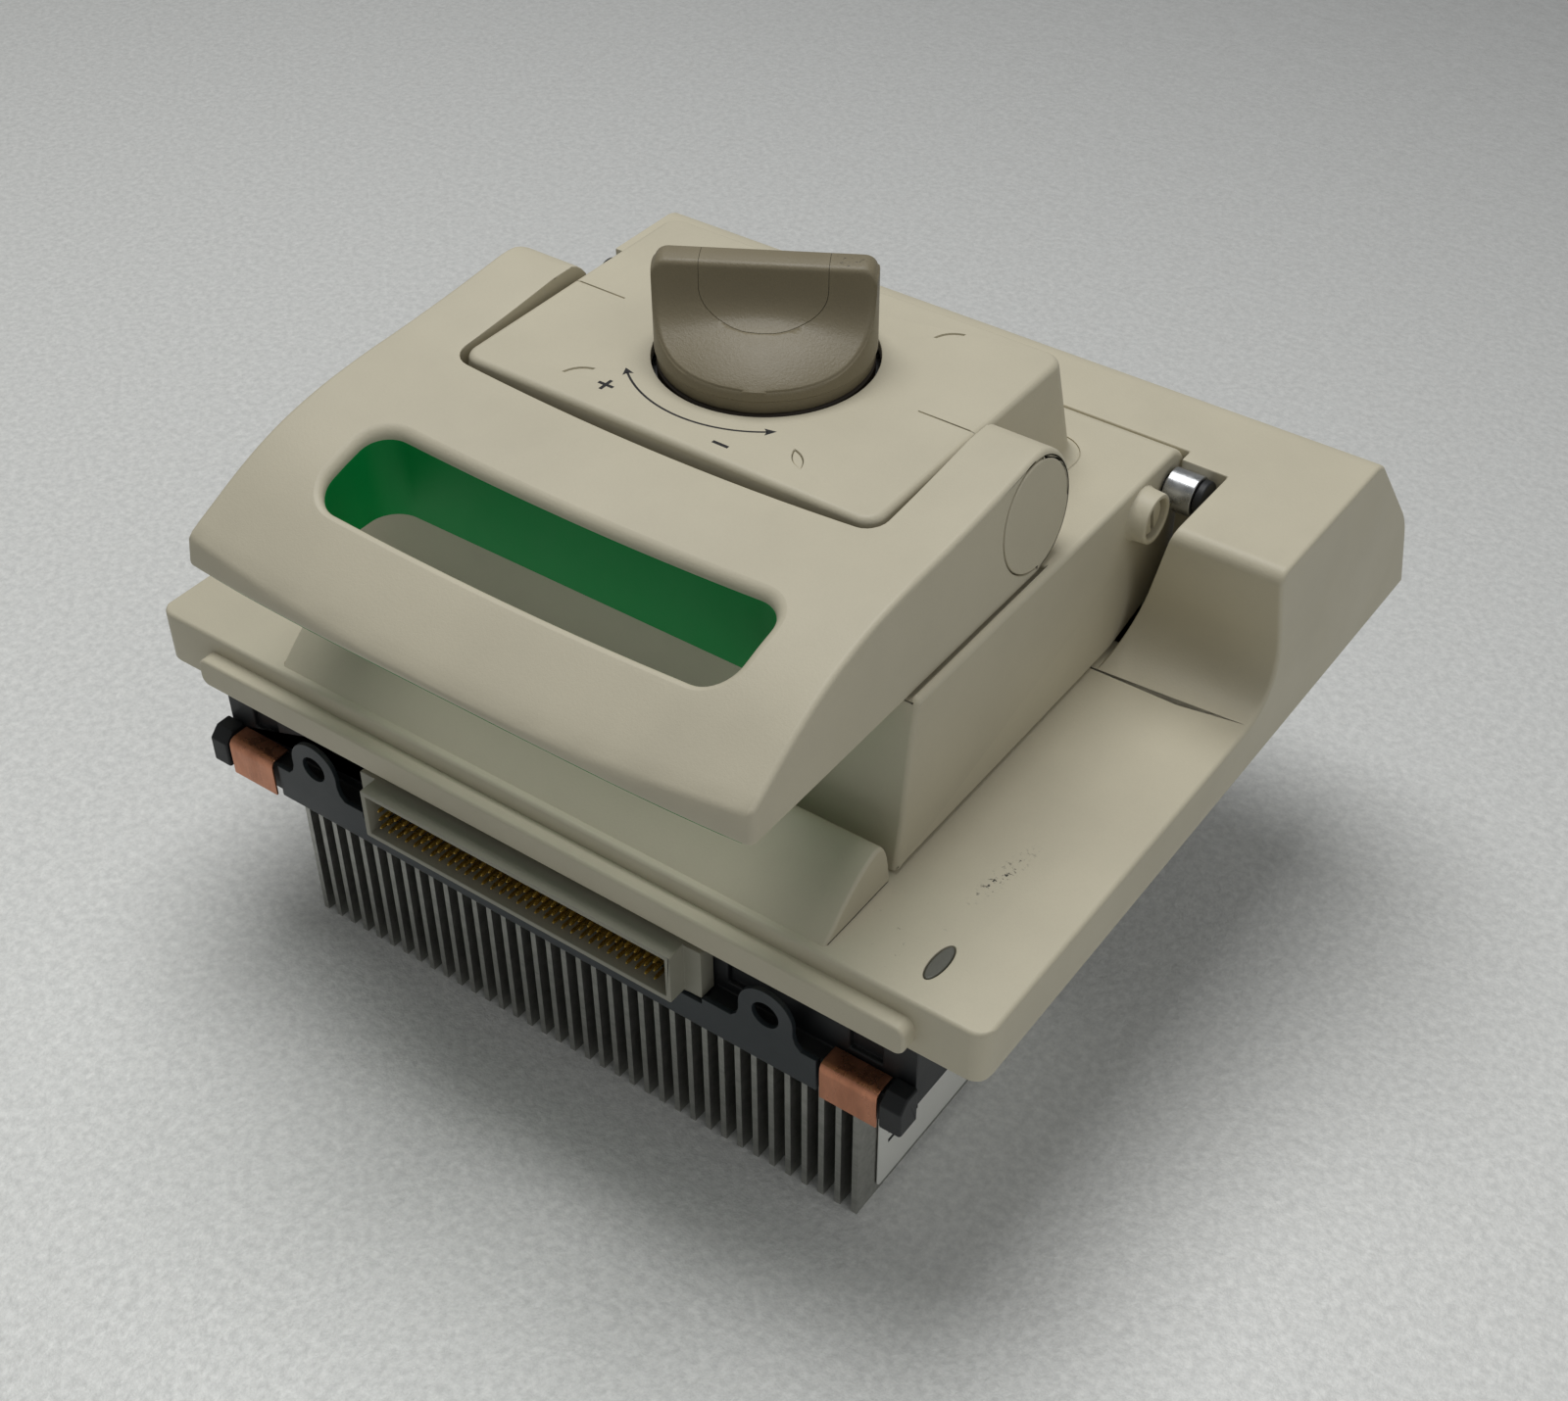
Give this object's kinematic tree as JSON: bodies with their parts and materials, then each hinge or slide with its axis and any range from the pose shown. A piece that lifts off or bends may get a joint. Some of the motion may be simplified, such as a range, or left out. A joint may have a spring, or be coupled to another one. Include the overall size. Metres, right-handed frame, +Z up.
{
  "type": "thermal cycler",
  "caption": "Interchangeable reaction module of a thermal cycler: finned heat sink, chassis with edge connector, moulded deck, hinged heated lid, latch handle and force knob.",
  "frame": {"origin": "centre of the bounding box, on the plane that the fin tips stand on", "axes": "+X to the right seen from the front, +Y from the handle lip towards the rear housing, +Z up"},
  "size_m": [0.2292, 0.2184, 0.1774],
  "materials": {
    "casing": "moulded warm beige plastic with a fine texture",
    "knob_plastic": "satin taupe plastic",
    "liner_green": "moulded dark green plastic",
    "black_plastic": "black moulded plastic",
    "slate_steel": "dark slate coated sheet steel",
    "connector_body": "grey-green glass-filled connector plastic",
    "contact_gold": "gold plated",
    "strap_copper": "smudged copper sheet",
    "aluminium": "extruded and machined",
    "steel": "zinc plated",
    "brass": "turned",
    "label": "white film with plain bars, no text",
    "rubber": "moulded black rubber",
    "ceramic": "white ceramic and fibre",
    "board": "green circuit board",
    "lens": "smoked lens",
    "heater": "amber heater film"
  },
  "bodies": {
    "base": {"deck_casing": "casing", "status_lens": "lens", "heat_sink": "aluminium", "heat_sink_label": "label", "chassis_frame": "black_plastic", "ear_bracket": "slate_steel", "connector_shroud": "connector_body", "connector_pins": "contact_gold", "sample_block": "aluminium", "thermal_pad": "ceramic", "block_gasket": "rubber", "block_sensor": "steel", "control_board": "board", "hinge_pin": "steel", "earth_strap_left": "strap_copper", "end_block_left": "black_plastic", "side_guide_left": "black_plastic", "hinge_leaf_left": "steel", "hinge_cap_left": "black_plastic", "latch_keeper_left": "steel", "earth_strap_right": "strap_copper", "end_block_right": "black_plastic", "side_guide_right": "black_plastic", "hinge_leaf_right": "steel", "hinge_cap_right": "black_plastic", "latch_keeper_right": "steel", "block_screw_1": "steel", "block_screw_2": "steel", "block_screw_3": "steel", "block_screw_4": "steel", "peltier_module_1": "ceramic", "peltier_module_2": "ceramic", "peltier_module_3": "ceramic", "peltier_module_4": "ceramic", "peltier_module_5": "ceramic", "peltier_module_6": "ceramic"},
    "lid": {"lid_cover": "casing", "lid_inner_tray": "black_plastic", "knob_bearing_plate": "steel", "knob_bushing": "brass", "latch_shaft": "steel", "latch_spring": "steel", "lid_screw_left": "casing", "lid_screw_right": "casing", "handle_pivot_pin_left": "steel", "handle_pivot_pin_right": "steel"},
    "handle": {"handle_shell": "casing", "handle_liner": "liner_green", "pivot_cap_left": "casing", "pivot_cap_right": "casing"},
    "latch": {"latch_hook_left": "steel", "latch_hook_right": "steel"},
    "knob": {"force_knob": "knob_plastic", "knob_inlay": "knob_plastic", "knob_ring": "black_plastic", "lead_screw": "steel"},
    "platen": {"heated_platen": "aluminium", "platen_heater": "heater", "platen_insulation": "ceramic", "platen_nut": "brass"}
  },
  "joints": [
    {"name": "lid_open", "type": "hinge", "parent": "base", "child": "lid", "pos_m": [0, 0.0468, 0.1213], "axis": [-1, 0, 0], "range_deg": [0, 80]},
    {"name": "handle_lift", "type": "hinge", "parent": "lid", "child": "handle", "pos_m": [0, -0.0075, 0.1435], "axis": [-1, 0, 0], "range_deg": [0, 30]},
    {"name": "latch_swing", "type": "hinge", "parent": "lid", "child": "latch", "pos_m": [0, -0.0487, 0.1204], "axis": [1, 0, 0], "range_deg": [0, 12]},
    {"name": "knob_turn", "type": "hinge", "parent": "lid", "child": "knob", "pos_m": [0, -0.0019, 0.1536], "axis": [0, 0, -1], "range_deg": [-360, 360]},
    {"name": "platen_press", "type": "slide", "parent": "lid", "child": "platen", "axis": [0, 0, -1], "range_m": [-0.0025, 0.0025]}
  ],
  "couplings": [
    {"joint": "latch_swing", "follows": "handle_lift", "ratio": 0.4},
    {"joint": "knob_turn", "follows": "platen_press", "rad_per_m": 2512}
  ]
}
